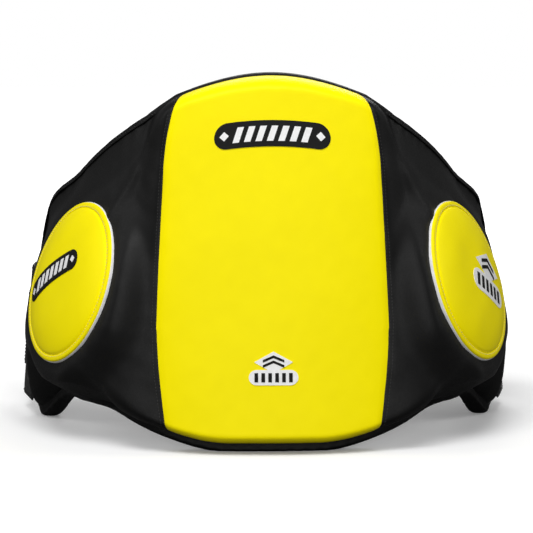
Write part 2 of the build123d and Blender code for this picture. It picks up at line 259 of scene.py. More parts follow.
PATCH = patch_axes()


def in_patch(points):
    """(a, b, height) of right-side points in the patch's plane."""
    rel = points - PATCH[0]
    return rel @ PATCH[1], rel @ PATCH[2], rel @ PATCH[3]


def pull_line(s, z, start, end, width):
    """A soft ridge of pulled leather between two points, fading at both ends."""
    run = np.array(end) - np.array(start)
    length = np.hypot(*run)
    along = ((s - start[0]) * run[0] + (z - start[1]) * run[1]) / length
    off = ((s - start[0]) * run[1] - (z - start[1]) * run[0]) / length
    return bell(off, width) * smooth((along + 25.0) / 40.0) * smooth((length + 25.0 - along) / 40.0)


def cover_height(s, z, seed):
    """A side cover's outer face: the block, pushed out under the patch, with soft dents and sewn-in seams."""
    flat = np.abs(s)
    base = face_height(flat, z)
    a, b, rise = in_patch(spot(flat, z, base))
    held = 1 - smooth((np.hypot(a, b) - 89.0) / 42.0)
    base = base + held * np.clip(-rise - 0.9, 0, 40) * smooth((flat - 119.0) / 26.0)
    level = bevel_level(flat, z)
    base = base + 0.55 * waves(s, z, seed, 95.0) * level * (1 - held)
    base = base + 2.2 * pull_line(flat, z, (132.0, 335.0), (183.0, 240.0), 8.0)
    base = base + 1.4 * pull_line(flat, z, (190.0, 92.0), (214.0, 52.0), 9.0)
    base = base + 0.22 * waves(s, z, seed + 1, 34.0) * np.sqrt(level)
    from_edge = np.minimum(top_line(flat) - z, z - low_edge(flat))
    base = base + 0.35 * waves(s, z * 0.15, seed + 2, 15.0) * bell(from_edge - 10.0, 7.0)
    from_seam = flat - seam_at(z)
    return base - 1.5 * bell(from_seam, 2.6) - 0.6 * bell(from_seam, 9.0)


def front_height(s, z):
    """The yellow panel's outer face."""
    from_seam = seam_at(z) - np.abs(s)
    base = face_height(s, z) + 0.35 * waves(s, z, 11, 120.0) + 0.08 * waves(s, z, 12, 30.0)
    from_edge = np.minimum(top_line(s) - z, z - low_edge(s))
    base = base + 0.22 * waves(s, z * 0.15, 13, 18.0) * bell(from_edge - 9.0, 6.0)
    return base - 1.5 * bell(from_seam, 2.6) - 0.6 * bell(from_seam, 9.0)


LINING_SEAMS = [38.0, 112.0, 200.0, 290.0]


def lining_height(s, z):
    """The lining's face: soft, with sewn channels from top to bottom."""
    base = back_height(s, z) - 0.5 * waves(s, z, 21, 70.0)
    for seam in LINING_SEAMS:
        base = base + 3.2 * bell(np.abs(s) - seam, 3.4) + 1.6 * bell(np.abs(s) - seam, 12.0)
    return base


# ---------------------------------------------------------------- meshes from grids
def grid_normals(points, outward):
    """Unit normals of a grid of points, on the side that outward points to."""
    n = np.cross(np.gradient(points, axis=0), np.gradient(points, axis=1))
    n = n / np.maximum(np.linalg.norm(n, axis=-1, keepdims=True), 1e-12)
    return n * np.where((n * outward).sum(-1, keepdims=True) < 0, -1.0, 1.0)


def outward_at(s):
    heading = plan(np.asarray(s, float))[2]
    return np.stack([np.sin(heading), -np.cos(heading), np.zeros_like(heading)], axis=-1)


def grid_quads(rows, columns, start=0, wrap_rows=False, wrap_columns=False):
    i, j = np.meshgrid(np.arange(rows - (not wrap_rows)), np.arange(columns - (not wrap_columns)),
                       indexing="ij")
    ni, nj = (i + 1) % rows, (j + 1) % columns
    quads = np.stack([i * columns + j, i * columns + nj, ni * columns + nj, ni * columns + j], axis=-1)
    return quads.reshape(-1, 4) + start


def shell(outer, inner):
    """Closed mesh between two grids of points of one shape."""
    rows, columns = outer.shape[:2]
    count = rows * columns
    index = np.arange(count).reshape(rows, columns)
    rim = np.concatenate([index[0, :], index[1:, -1], index[-1, -2::-1], index[-2:0:-1, 0]])
    following = np.roll(rim, -1)
    faces = np.concatenate([
        grid_quads(rows, columns),
        grid_quads(rows, columns, count)[:, ::-1],
        np.stack([rim, rim + count, following + count, following], axis=-1),
    ])
    return np.concatenate([outer.reshape(-1, 3), inner.reshape(-1, 3)]), faces


def tube(rings):
    """Closed mesh from rings of points (stations, points, 3), with flat ends."""
    stations, count = rings.shape[:2]
    faces = [tuple(q) for q in grid_quads(stations, count, wrap_columns=True)]
    faces.append(tuple(range(count)))
    faces.append(tuple(range((stations - 1) * count, stations * count)))
    return rings.reshape(-1, 3), faces


def joined(parts):
    """One (vertices, faces) from several."""
    vertices, faces, start = [], [], 0
    for part_vertices, part_faces in parts:
        vertices.append(part_vertices)
        faces.extend(tuple(int(v) + start for v in face) for face in part_faces)
        start += len(part_vertices)
    return np.concatenate(vertices), faces


def make(name, geometry, material, body="pad", replaces=(), attributes=None):
    """A smooth-shaded piece from (vertices, faces), with outward normals."""
    vertices, faces = geometry
    mesh = bpy.data.meshes.new(name)
    mesh.from_pydata([tuple(v) for v in vertices], [], [tuple(int(i) for i in f) for f in faces])
    for key, values in (attributes or {}).items():
        kind = "FLOAT_VECTOR" if np.ndim(values) == 2 else "FLOAT"
        layer = mesh.attributes.new(key, kind, "POINT")
        layer.data.foreach_set("vector" if kind == "FLOAT_VECTOR" else "value",
                               np.ravel(values).astype(np.float32))
    work = bmesh.new()
    work.from_mesh(mesh)
    bmesh.ops.recalc_face_normals(work, faces=work.faces)
    work.to_mesh(mesh)
    work.free()
    mesh.shade_smooth()
    mesh.set_sharp_from_angle(angle=radians(50))
    mesh.materials.append(material)
    piece = bpy.data.objects.new(name, mesh)
    bpy.context.scene.collection.objects.link(piece)
    if body:
        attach(piece, body)
    if replaces:
        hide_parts(*replaces)
    return piece


def stitches(points, normals, pitch=STITCH_PITCH, length=STITCH_LENGTH, radius=STITCH_RADIUS):
    """(vertices, faces) of a row of thread stitches along a line of points in metres."""
    steps = np.linalg.norm(np.diff(points, axis=0), axis=1)
    travel = np.concatenate([[0], np.cumsum(steps)])
    count = max(int(travel[-1] / (pitch * MM)), 1)
    at = (np.arange(count) + 0.5) * travel[-1] / count
    centre = np.stack([np.interp(at, travel, points[:, k]) for k in range(3)], axis=-1)
    ahead = np.stack([np.interp(at + 0.0008, travel, points[:, k]) for k in range(3)], axis=-1)
    behind = np.stack([np.interp(at - 0.0008, travel, points[:, k]) for k in range(3)], axis=-1)
    along = ahead - behind
    along /= np.linalg.norm(along, axis=1, keepdims=True)
    up = np.stack([np.interp(at, travel, normals[:, k]) for k in range(3)], axis=-1)
    up -= (up * along).sum(1, keepdims=True) * along
    up /= np.linalg.norm(up, axis=1, keepdims=True)
    across = np.cross(along, up)
    ring = 2 * pi * np.arange(6) / 6
    shape = [(-0.5, 0.35, -1.0), (-0.3, 1.0, 0.15), (0.0, 1.1, 0.45), (0.3, 1.0, 0.15), (0.5, 0.35, -1.0)]
    rings = []
    for x, size, lift in shape:
        middle = centre + along * x * length * MM + up * lift * radius * MM
        circle = np.cos(ring)[:, None, None] * up + np.sin(ring)[:, None, None] * across
        rings.append(middle + circle * size * radius * MM)
    rings = np.stack(rings).transpose(2, 0, 1, 3)
    template = grid_quads(len(shape), 6, wrap_columns=True)
    size = len(shape) * 6
    faces = []
    for k in range(count):
        faces.extend(tuple(q) for q in template + k * size)
        faces.append(tuple(range(k * size, k * size + 6)))
        faces.append(tuple(range((k + 1) * size - 6, (k + 1) * size)))
    return rings.reshape(-1, 3), faces


def surface_line(s, z, height, lift=0.0, way=1.0):
    """(points, normals) of a line on a face given by height(s, z)."""
    s, z = np.broadcast_arrays(np.asarray(s, float), np.asarray(z, float))
    step = 0.6
    base = place(s, z, height(s, z))
    along_s = place(s + step, z, height(s + step, z)) - place(s - step, z, height(s - step, z))
    along_z = place(s, z + step, height(s, z + step)) - place(s, z - step, height(s, z - step))
    n = np.cross(along_s, along_z)
    n /= np.linalg.norm(n, axis=-1, keepdims=True)
    out = outward_at(s) * way
    n *= np.where((n * out).sum(-1, keepdims=True) < 0, -1.0, 1.0)
    return base + n * lift * MM, n


# ---------------------------------------------------------------- materials
def new_material(name):
    material = bpy.data.materials.new(name)
    material.use_nodes = True
    tree = material.node_tree
    return material, tree, tree.nodes["Principled BSDF"]


def node(tree, kind, inputs=None, **settings):
    made = tree.nodes.new(kind)
    for key, value in settings.items():
        setattr(made, key, value)
    for key, value in (inputs or {}).items():
        if isinstance(value, bpy.types.NodeSocket):
            tree.links.new(value, made.inputs[key])
        else:
            made.inputs[key].default_value = value
    return made


def ramp(tree, source, stops):
    made = tree.nodes.new("ShaderNodeValToRGB")
    elements = made.color_ramp.elements
    for k, (position, colour) in enumerate(stops):
        element = elements[k] if k < 2 else elements.new(position)
        element.position = position
        element.color = (*colour, 1.0) if len(colour) == 3 else colour
    tree.links.new(source, made.inputs["Fac"])
    return made.outputs["Color"]


def grey(value):
    return (value, value, value)


def coordinates(tree, attribute=None):
    if attribute:
        return node(tree, "ShaderNodeAttribute", attribute_name=attribute).outputs["Vector"]
    return node(tree, "ShaderNodeTexCoord").outputs["Object"]


def leather(name, dark, light, rough, grain=1100.0, bump=0.25, specular=0.5, wear_and_highlight=0.0):
    """Coated synthetic leather: pebble grain, faint mottling, a soft shine, and an optional painted ridge
    highlight that is partly wear.
    """
    material, tree, shader = new_material(name)
    where = coordinates(tree)
    mottle = node(tree, "ShaderNodeTexNoise",
                  {"Vector": where, "Scale": 38.0, "Detail": 5.0, "Roughness": 0.6})
    colour = ramp(tree, mottle.outputs["Fac"], [(0.32, dark), (0.68, light)])
    # painted highlight: the ridge attribute, broken up by noise, lightens the colour where light catches the
    # ridges; partly rubbed wear too
    if wear_and_highlight:
        rubbed_and_lit_ridges = node(tree, "ShaderNodeAttribute", attribute_name="wear_and_highlight").outputs["Fac"]
        patchy_wear_and_sheen = node(tree, "ShaderNodeTexNoise", {"Vector": where, "Scale": 240.0, "Detail": 4.0})
        share = node(tree, "ShaderNodeMath", {0: rubbed_and_lit_ridges, 1: patchy_wear_and_sheen.outputs["Fac"]}, operation="MULTIPLY")
        mix = node(tree, "ShaderNodeMix", {"Factor": share.outputs[0]}, data_type="RGBA", blend_type="ADD")
        tree.links.new(colour, mix.inputs[6])
        mix.inputs[7].default_value = (wear_and_highlight, wear_and_highlight, wear_and_highlight, 1.0)
        colour = mix.outputs[2]
    tree.links.new(colour, shader.inputs["Base Color"])
    cells = node(tree, "ShaderNodeTexVoronoi", {"Vector": where, "Scale": grain, "Randomness": 1.0})
    fine = node(tree, "ShaderNodeTexNoise", {"Vector": where, "Scale": grain * 0.45, "Detail": 4.0})
    soft = node(tree, "ShaderNodeTexNoise", {"Vector": where, "Scale": 90.0, "Detail": 3.0})
    height = node(tree, "ShaderNodeMath", {0: cells.outputs["Distance"], 1: fine.outputs["Fac"]},
                  operation="ADD")
    pebble = node(tree, "ShaderNodeBump",
                  {"Height": height.outputs[0], "Strength": bump, "Distance": 0.00022})
    crease = node(tree, "ShaderNodeBump", {"Height": soft.outputs["Fac"], "Strength": bump * 0.5,
                                           "Distance": 0.0012, "Normal": pebble.outputs[0]})
    tree.links.new(crease.outputs[0], shader.inputs["Normal"])
    sheen = ramp(tree, fine.outputs["Fac"], [(0.3, grey(rough - 0.06)), (0.7, grey(rough + 0.07))])
    tree.links.new(sheen, shader.inputs["Roughness"])
    shader.inputs["Specular IOR Level"].default_value = specular
    return material


def woven(name, dark, light, pitch=0.9, rough=0.85, twill=False, sheen=0.3):
    """Cloth with two crossing sets of threads, pitch millimetres apart, along the strip coordinates."""
    material, tree, shader = new_material(name)
    where = coordinates(tree, "strip")
    parts = node(tree, "ShaderNodeSeparateXYZ", {"Vector": where})
    threads = []
    for axis, other in (("X", "Y"), ("Y", "X")):
        phase = node(tree, "ShaderNodeMath", {0: parts.outputs[axis], 1: 2 * pi / pitch},
                     operation="MULTIPLY")
        cross = node(tree, "ShaderNodeMath", {0: parts.outputs[other], 1: pi / pitch}, operation="MULTIPLY")
        if twill:
            added = node(tree, "ShaderNodeMath", {0: phase.outputs[0], 1: cross.outputs[0]}, operation="ADD")
            phase = added
        threads.append(node(tree, "ShaderNodeMath", {0: phase.outputs[0]}, operation="SINE"))
    weave = node(tree, "ShaderNodeMath", {0: threads[0].outputs[0], 1: threads[1].outputs[0]},
                 operation="MULTIPLY")
    fuzz = node(tree, "ShaderNodeTexNoise", {"Vector": where, "Scale": 1.8, "Detail": 5.0})
    height = node(tree, "ShaderNodeMath", {0: weave.outputs[0], 1: fuzz.outputs["Fac"]}, operation="ADD")
    colour = ramp(tree, height.outputs[0], [(0.0, dark), (1.0, light)])
    tree.links.new(colour, shader.inputs["Base Color"])
    bump = node(tree, "ShaderNodeBump", {"Height": height.outputs[0], "Strength": 0.5, "Distance": 0.0002})
    tree.links.new(bump.outputs[0], shader.inputs["Normal"])
    rough_map = ramp(tree, fuzz.outputs["Fac"], [(0.3, grey(rough - 0.08)), (0.7, grey(rough + 0.06))])
    tree.links.new(rough_map, shader.inputs["Roughness"])
    shader.inputs["Sheen Weight"].default_value = sheen
    shader.inputs["Sheen Roughness"].default_value = 0.5
    shader.inputs["Specular IOR Level"].default_value = 0.25
    return material


def mottled(name, dark, light, rough, scale, bump, distance=0.0004, specular=0.4, metal=0.0):
    """Noise-coloured surface for foam, thread, print, pile and metal."""
    material, tree, shader = new_material(name)
    where = coordinates(tree)
    noise = node(tree, "ShaderNodeTexNoise",
                 {"Vector": where, "Scale": scale, "Detail": 6.0, "Roughness": 0.6})
    tree.links.new(ramp(tree, noise.outputs["Fac"], [(0.35, dark), (0.65, light)]),
                   shader.inputs["Base Color"])
    tree.links.new(ramp(tree, noise.outputs["Fac"],
                        [(0.3, grey(rough * 0.85)), (0.7, grey(min(rough * 1.15, 1)))]),
                   shader.inputs["Roughness"])
    lift = node(tree, "ShaderNodeBump",
                {"Height": noise.outputs["Fac"], "Strength": bump, "Distance": distance})
    tree.links.new(lift.outputs[0], shader.inputs["Normal"])
    shader.inputs["Specular IOR Level"].default_value = specular
    shader.inputs["Metallic"].default_value = metal
    return material


YELLOW = leather("yellow_leather", (0.955, 0.815, 0.0), (0.975, 0.835, 0.0), 0.45, bump=0.10, specular=0.08)
# the black leather gets a painted highlight along its ridges, partly rubbed wear
BLACK = leather("black_leather", grey(0.0022), grey(0.0034), 0.5, bump=0.26, specular=0.2, wear_and_highlight=0.006)
BELT_BLACK = leather("belt_leather", grey(0.004), grey(0.007), 0.5, grain=900.0, bump=0.35, specular=0.35)
TAPE = leather("binding_tape", grey(0.0025), grey(0.0045), 0.5, grain=1500.0, bump=0.3, specular=0.18)
LINING = woven("lining_weave", grey(0.012), grey(0.035), pitch=0.9)
WEBBING = woven("webbing_weave", grey(0.010), grey(0.034), pitch=1.8, twill=True)
ELASTIC = woven("elastic_weave", grey(0.012), grey(0.036), pitch=1.1)
WHITE = mottled("white_piping", grey(0.66), grey(0.78), 0.5, 160.0, 0.2)
FOAM = mottled("foam", grey(0.09), grey(0.14), 0.9, 700.0, 0.5)
BLACK_THREAD = mottled("black_thread", grey(0.010), grey(0.028), 0.6, 1500.0, 0.4, 0.0002)
PALE_THREAD = mottled("pale_thread", (0.62, 0.50, 0.12), (0.78, 0.66, 0.24), 0.6, 1500.0, 0.4, 0.0002)
PRINT_BLACK = mottled("print_black", grey(0.004), grey(0.007), 0.6, 300.0, 0.15, specular=0.15)
PRINT_WHITE = mottled("print_white", grey(0.80), grey(0.88), 0.5, 300.0, 0.15)
PILE = mottled("loop_pile", grey(0.006), grey(0.026), 0.95, 1700.0, 0.9, 0.0006, specular=0.2)
STEEL = mottled("nickel_steel", grey(0.55), grey(0.66), 0.24, 420.0, 0.05, specular=0.5, metal=1.0)


# ---------------------------------------------------------------- camera, light and floor
PHOTO_DISTANCE = 2.2        # from the camera to the apron, in metres
CAMERA_HEIGHT = 0.449
VIEW_TURN = radians(-2.0)   # the pad is turned a little in front of the camera
FOCAL = 144.9
PITCH = radians(6.55)
FLOOR_HALF = 12.0           # metres
FLOOR_SEEN, FLOOR_LIT = 0.94, 0.14          # the floor's shade to the camera, and to the light
GLOW_NEAR = 0.12            # how white the floor is by itself at the pad; it is 1 far away
GLOW_START, GLOW_END = 0.35, 1.3            # metres from the origin


def make_camera():
    data = bpy.data.cameras.new("camera")
    data.lens = FOCAL
    data.sensor_width = 36.0
    data.clip_end = 50.0
    camera = bpy.data.objects.new("camera", data)
    reach = PHOTO_DISTANCE - ORIGIN[1] + 0.017
    camera.location = (sin(VIEW_TURN) * reach, -cos(VIEW_TURN) * reach, CAMERA_HEIGHT)
    camera.rotation_euler = (pi / 2 - PITCH, 0.0, VIEW_TURN)
    bpy.context.scene.collection.objects.link(camera)
    bpy.context.scene.camera = camera


def area_light(name, spot_at, target, size, energy, colour=(1, 1, 1)):
    data = bpy.data.lights.new(name, "AREA")
    data.shape = "RECTANGLE"
    data.size, data.size_y = size
    data.energy = energy
    data.color = colour
    light = bpy.data.objects.new(name, data)
    light.location = spot_at
    light.rotation_euler = (Vector(target) - Vector(spot_at)).to_track_quat("-Z", "Y").to_euler()
    bpy.context.scene.collection.objects.link(light)


def make_stage():
    world = bpy.data.worlds.new("studio")
    world.use_nodes = True
    bpy.context.scene.world = world
    tree = world.node_tree
    background = tree.nodes["Background"]
    rays = node(tree, "ShaderNodeLightPath")
    white = node(tree, "ShaderNodeBackground", {"Color": (1, 1, 1, 1), "Strength": 1.0})
    background.inputs["Color"].default_value = (1, 1, 1, 1)
    background.inputs["Strength"].default_value = 0.16
    mix = node(tree, "ShaderNodeMixShader", {0: rays.outputs["Is Camera Ray"], 1: background.outputs[0],
                                             2: white.outputs[0]})
    tree.links.new(mix.outputs[0], tree.nodes["World Output"].inputs["Surface"])
    area_light("key", (-0.3, -1.5, 2.3), (0, 0, 0.2), (1.8, 1.2), 54.0)
    area_light("front", (-0.1, -3.2, 0.7), (0, 0, 0.2), (2.6, 1.4), 32.0)
    area_light("left", (-2.4, -0.2, 1.5), (0, 0, 0.2), (0.9, 1.6), 12.0)
    area_light("right", (2.4, -0.2, 1.5), (0, 0, 0.2), (0.9, 1.6), 12.0)
    area_light("rear", (0.4, 2.4, 1.8), (0, 0, 0.2), (1.6, 1.0), 22.0)
    material, floor_tree, shader = new_material("floor")
    shader.inputs["Roughness"].default_value = 0.9
    shader.inputs["Specular IOR Level"].default_value = 0.0
    seen = node(floor_tree, "ShaderNodeLightPath").outputs["Is Camera Ray"]
    shade = ramp(floor_tree, seen, [(0.0, grey(FLOOR_LIT)), (1.0, grey(FLOOR_SEEN))])
    floor_tree.links.new(shade, shader.inputs["Base Color"])
    away = node(floor_tree, "ShaderNodeVectorMath", {0: coordinates(floor_tree)}, operation="LENGTH")
    far = node(floor_tree, "ShaderNodeMapRange",
               {"Value": away.outputs["Value"], "From Min": GLOW_START, "From Max": GLOW_END,
                "To Min": GLOW_NEAR, "To Max": 1.0}, interpolation_type="SMOOTHSTEP")
    glow = node(floor_tree, "ShaderNodeMath", {0: seen, 1: far.outputs["Result"]}, operation="MULTIPLY")
    shader.inputs["Emission Color"].default_value = (1.0, 1.0, 1.0, 1.0)
    floor_tree.links.new(glow.outputs[0], shader.inputs["Emission Strength"])
    mesh = bpy.data.meshes.new("floor")
    half = FLOOR_HALF
    mesh.from_pydata([(-half, -half, 0), (half, -half, 0), (half, half, 0), (-half, half, 0)], [],
                     [(0, 1, 2, 3)])
    mesh.materials.append(material)
    floor = bpy.data.objects.new("floor", mesh)
    bpy.context.scene.collection.objects.link(floor)
    bpy.context.scene.view_settings.view_transform = "Standard"


make_camera()
make_stage()


# ---------------------------------------------------------------- covers and lining
def crowded(count, share=0.7):
    """Steps from 0 to 1 that crowd towards both ends."""
    t = np.linspace(0, 1, count)
    return t * (1 - share) + share * (0.5 - 0.5 * np.cos(pi * t))


def panel_grid(s_of, rows, columns):
    """s and z grids of a panel between two lines s_of(z, share), from lower to upper edge."""
    across, up = np.meshgrid(np.linspace(0, 1, rows), crowded(columns), indexing="ij")
    z = np.full_like(across, PAD_HEIGHT / 2)
    for _ in range(4):
        s = s_of(z, across)
        low = low_edge(s) + UNDER_TAPE
        high = top_line(s) - np.minimum(UNDER_TAPE, front_lip(s) - 0.5)
        z = low + (high - low) * up
    return s_of(z, across), z


def make_panel(name, s, z, height, material, replaces, way=1.0, thick=SKIN):
    outer = place(s, z, height(s, z))
    inner = outer - grid_normals(outer, outward_at(s) * way) * thick * MM
    level = bevel_level(np.abs(s), z)
    # painted highlight, partly rubbed wear: a band along the block's ridges on the side covers, lighter in
    # the black leather
    wear_and_highlight = np.concatenate([(bell(level - 0.9, 0.12) * side_share(s)).ravel()] * 2)
    strip = np.concatenate([np.stack([s, z, np.zeros_like(s)], axis=-1).reshape(-1, 3)] * 2)
    return make(name, shell(outer, inner), material, "pad", replaces, {"wear_and_highlight": wear_and_highlight, "strip": strip})


def make_covers():
    s, z = panel_grid(lambda level, t: seam_at(level) * (2 * t - 1), 97, 170)
    panel = make_panel("front_cover", s, z, front_height, YELLOW, ["front_cover_panel"])
    for side, word in ((-1, "left"), (1, "right")):
        s, z = panel_grid(
            lambda level, t: side * (seam_at(level) + (WING_END - UNDER_TAPE - seam_at(level)) * t), 121, 170)
        cover = make_panel(f"side_cover_{word}_skin", s, z, lambda a, b: cover_height(a, b, 31 + 7 * side),
                           BLACK,
                           [f"side_cover_{word}"])
        end = side * (WING_END - UNDER_TAPE)
        s, z = panel_grid(lambda level, t: side * 112.0 + (end - side * 112.0) * t, 111, 120)
        make_panel(f"lining_{word}_cloth", s, z, lining_height, LINING, [f"lining_{word}"],
                   -1.0)
    s, z = panel_grid(lambda level, t: 112.0 * (2 * t - 1), 91, 120)
    make_panel("lining_centre_cloth", s, z, lining_height, LINING, ["lining_centre"], -1.0)


def foam_block(name, s_low, s_high, height, way, replaces):
    s, z = panel_grid(lambda level, t: s_low + (s_high - s_low) * t, 31, 48)
    z = PAD_HEIGHT / 2 + (z - PAD_HEIGHT / 2) * 0.975
    outer = place(s, z, height(s, z))
    outer = outer - grid_normals(outer, outward_at(s) * way) * 2.4 * MM
    block = make(name, shell(outer, place(s, z, 0.6 * way)), FOAM, "pad", replaces)


def make_foam():
    half = CENTRE_HALF - 0.6
    foam_block("centre_block", -half, half, front_height, 1.0, ["centre_foam_outer"])
    foam_block("centre_backing", -half, half, lining_height, -1.0, ["centre_foam_inner"])
    for side, word in ((-1, "left"), (1, "right")):
        near, far = side * (CENTRE_HALF + 0.6), side * (WING_END - 10.0)
        foam_block(f"wing_block_{word}", near, far, lambda a, b: cover_height(a, b, 31 + 7 * side), 1.0,
                   [f"wing_foam_outer_{word}"])
        foam_block(f"wing_backing_{word}", near, far, lining_height, -1.0, [f"wing_foam_inner_{word}"])


# ---------------------------------------------------------------- binding tapes
def outline():
    """(s, z) round the right half, from top centre to bottom centre by the wing's rear, and its parts."""
    turn = np.linspace(0, pi / 2, 12)
    s_top = np.linspace(0, WING_END - TOP_ROUND, 120)
    s_corner = WING_END - TOP_ROUND + TOP_ROUND * np.sin(turn[1:])
    rear_high = float(top_edge(WING_END)) - TOP_ROUND
    z_rear = np.linspace(rear_high, TAB_ROUND, 60)[1:]
    s_low_corner = WING_END - TAB_ROUND + TAB_ROUND * np.sin(turn[::-1][1:])
    s_low = np.linspace(WING_END - TAB_ROUND, 0, 140)[1:]
    s = np.concatenate([s_top, s_corner, np.full(len(z_rear), WING_END), s_low_corner, s_low])
    z = np.concatenate([top_edge(s_top), top_line(s_corner), z_rear, low_edge(s_low_corner), low_edge(s_low)])
    return s, z, (len(s_top) + len(s_corner), len(s_top) + len(s_corner) + len(z_rear))


OUTLINE_S, OUTLINE_Z, (OUTLINE_TOP, OUTLINE_REAR) = outline()


def resampled(s, z, step):
    """The line again, with even steps, and its outward normal in the pad's sheet."""
    travel = np.concatenate([[0], np.cumsum(np.hypot(np.diff(s), np.diff(z)))])
    at = np.linspace(0, travel[-1], max(int(travel[-1] / step), 8))
    s, z = np.interp(at, travel, s), np.interp(at, travel, z)
    ds, dz = np.gradient(s), np.gradient(z)
    for _ in range(2):
        ds[1:-1] = (ds[:-2] + ds[1:-1] + ds[2:]) / 3
        dz[1:-1] = (dz[:-2] + dz[1:-1] + dz[2:]) / 3
    size = np.hypot(ds, dz)
    return s, z, -dz / size, ds / size, at


def tape_profile(s, z, front, back, grow):
    """(d, h) round the tape's section at each s: d is outwards across the edge, h through the pad."""
    high = edge_height(s, z)
    half, middle = (high + EDGE) / 2, (high - EDGE) / 2
    turn = np.linspace(0, pi, 13)
    step = np.linspace(1, 0, 6)[:-1]
    cap = np.minimum(TAPE_CAP, front + BIND - 0.3)[:, None]
    sides = [BIND - cap - (np.reshape(lip, (-1, 1)) + BIND - cap) * step
             for lip in (front, np.full_like(s, back))]
    d = np.concatenate([sides[0], BIND - cap + (cap + grow) * np.sin(turn), sides[1][:, ::-1]], axis=1)
    across = np.concatenate([np.ones(5), np.cos(turn), -np.ones(5)])
    return d, middle[:, None] + (half + BIND + grow)[:, None] * across


def tape_points(s, z, ns, nz, d, h):
    low = np.maximum(z[:, None] + nz[:, None] * d, 0.15)
    return place(s[:, None] + ns[:, None] * d, low, h)


def tape_mesh(s, z, lip, seed, grow=0.0, narrow=False):
    s, z, ns, nz, at = resampled(s, z, 2.4)
    front = front_lip(s) + 0.8 * (TOP_LIP - front_lip(s)) / LIP_STEP if narrow else np.full_like(s, lip)
    d, h = tape_profile(s, z, front, lip, grow)
    d_in, h_in = tape_profile(s, z, front, lip, grow - TAPE_THICK)
    ripple = 0.16 * waves(at[:, None], d * 2.0 + h, seed, 11.0) + 0.12 * waves(at[:, None], h, seed + 1, 30.0)
    middle = ((edge_height(s, z) - EDGE) / 2)[:, None]
    h = h + ripple * np.sign(h - middle)
    return shell(tape_points(s, z, ns, nz, d, h), tape_points(s, z, ns, nz, d_in, h_in))


def tape_stitches(s, z, inset, narrow=False):
    """Rows along both lips; a narrow front lip has none at the centre, where the panel covers it."""
    s, z, ns, nz, _ = resampled(s, z, 2.4)
    runs = [(1, s < -140.0), (1, s > 140.0)] if narrow else [(1, s == s)]
    rows = []
    for way, kept in runs + [(-1, s == s)]:
        h = edge_height(s, z) + BIND if way > 0 else np.full_like(s, -EDGE - BIND)
        points = place(s - ns * inset, np.maximum(z - nz * inset, 0.3), h)
        rows.append(stitches(points[kept], outward_at(s[kept]) * way, radius=0.4))
    return joined(rows)


def mirrored_line(s, z):
    return np.concatenate([-s[::-1], s[1:]]), np.concatenate([z[::-1], z[1:]])


def make_tapes():
    overlap = 5
    top = mirrored_line(OUTLINE_S[:OUTLINE_TOP + overlap], OUTLINE_Z[:OUTLINE_TOP + overlap])
    low = OUTLINE_S[OUTLINE_REAR - overlap:][::-1], OUTLINE_Z[OUTLINE_REAR - overlap:][::-1]
    low = mirrored_line(*low)
    low = low[0][::-1], low[1][::-1]
    make("top_tape", tape_mesh(*top, TOP_LIP, 41, 0.25, True), TAPE, "pad", ["top_binding"])
    make("bottom_tape", tape_mesh(*low, FOOT_LIP, 43, 0.25), TAPE, "pad", ["bottom_binding"])
    make("top_tape_stitches", tape_stitches(*top, TOP_LIP - 1.6, True), BLACK_THREAD)
    make("bottom_tape_stitches", tape_stitches(*low, FOOT_LIP - 1.8), BLACK_THREAD)
    rear_s, rear_z = OUTLINE_S[OUTLINE_TOP - 1:OUTLINE_REAR + 1], OUTLINE_Z[OUTLINE_TOP - 1:OUTLINE_REAR + 1]
    for side, word in ((-1, "left"), (1, "right")):
        order = slice(None) if side > 0 else slice(None, None, -1)
        line = side * rear_s[order], rear_z[order]
        make(f"rear_tape_{word}", tape_mesh(*line, END_LIP, 45 + side), TAPE, "pad", [f"end_binding_{word}"])
        make(f"rear_tape_stitches_{word}", tape_stitches(*line, END_LIP - 1.6), BLACK_THREAD)


# ---------------------------------------------------------------- seams
def make_seams():
    rows = []
    for side in (-1, 1):
        seed = 31 + 7 * side
        z = np.linspace(FOOT_LIP + 8.0, 352.0, 150)
        height = lambda a, b: cover_height(a, b, seed)
        for offset in (0.9, 3.4):
            rows.append(stitches(*surface_line(side * (seam_at(z) + offset), z, height), pitch=3.4,
                                 length=2.4,
                                 radius=0.33))
    make("front_seam_stitches", joined(rows), BLACK_THREAD)
    rows = []
    for seam in LINING_SEAMS:
        for side in (-1, 1):
            low = float(low_edge(seam)) + FOOT_LIP + 3.0
            high = float(top_line(seam)) - TOP_LIP - 3.0
            z = np.linspace(low, high, 120)
            rows.append(stitches(*surface_line(side * seam, z, lining_height, way=-1.0)))
    make("lining_stitches", joined(rows), BLACK_THREAD)


# ---------------------------------------------------------------- target patches
def wing_under(a, b, seed, side):
    """Height of the side cover over the patch's plane, under in-plane point (a, b)."""
    s, z = PATCH_S + a, PATCH_Z + b
    for _ in range(12):
        points = spot(s, z, cover_height(side * s, z, seed))
        at_a, at_b, rise = in_patch(points)
        s = s + (a - at_a) * 0.8
        z = z + (b - at_b) * 0.8
    return rise


PATCH_FOLLOW = 0.12         # share of the wing's curve that the patch follows


def patch_height(r, a, b, seed, side):
    """Height of the patch cover over the patch's plane."""
    rise = PATCH_FOLLOW * wing_under(a, b, seed, side)
    inner = PATCH_RADIUS - PATCH_FLANGE
    dome = 3.0 + (PATCH_CROWN - 3.0) * np.clip(1 - (r / inner) ** 2.8, 0, 1) ** 0.75
    flange = 3.4 - 0.02 * (r - inner) ** 2
    top = np.where(r < inner, dome, flange) - 0.9 * bell(r - inner, 1.3)
    return rise + top + 0.3 * waves(a, b, seed + 5, 60.0) * smooth((inner - r) / 30)


def patch_point(a, b, height, side):
    points = PATCH[0] + a[..., None] * PATCH[1] + b[..., None] * PATCH[2] + height[..., None] * PATCH[3]
    return metres(points * np.array([side, 1.0, 1.0]))


def polar(radii, count):
    turn = 2 * pi * np.arange(count) / count
    r, turn = np.meshgrid(radii, turn, indexing="ij")
    return r, r * np.cos(turn), r * np.sin(turn)


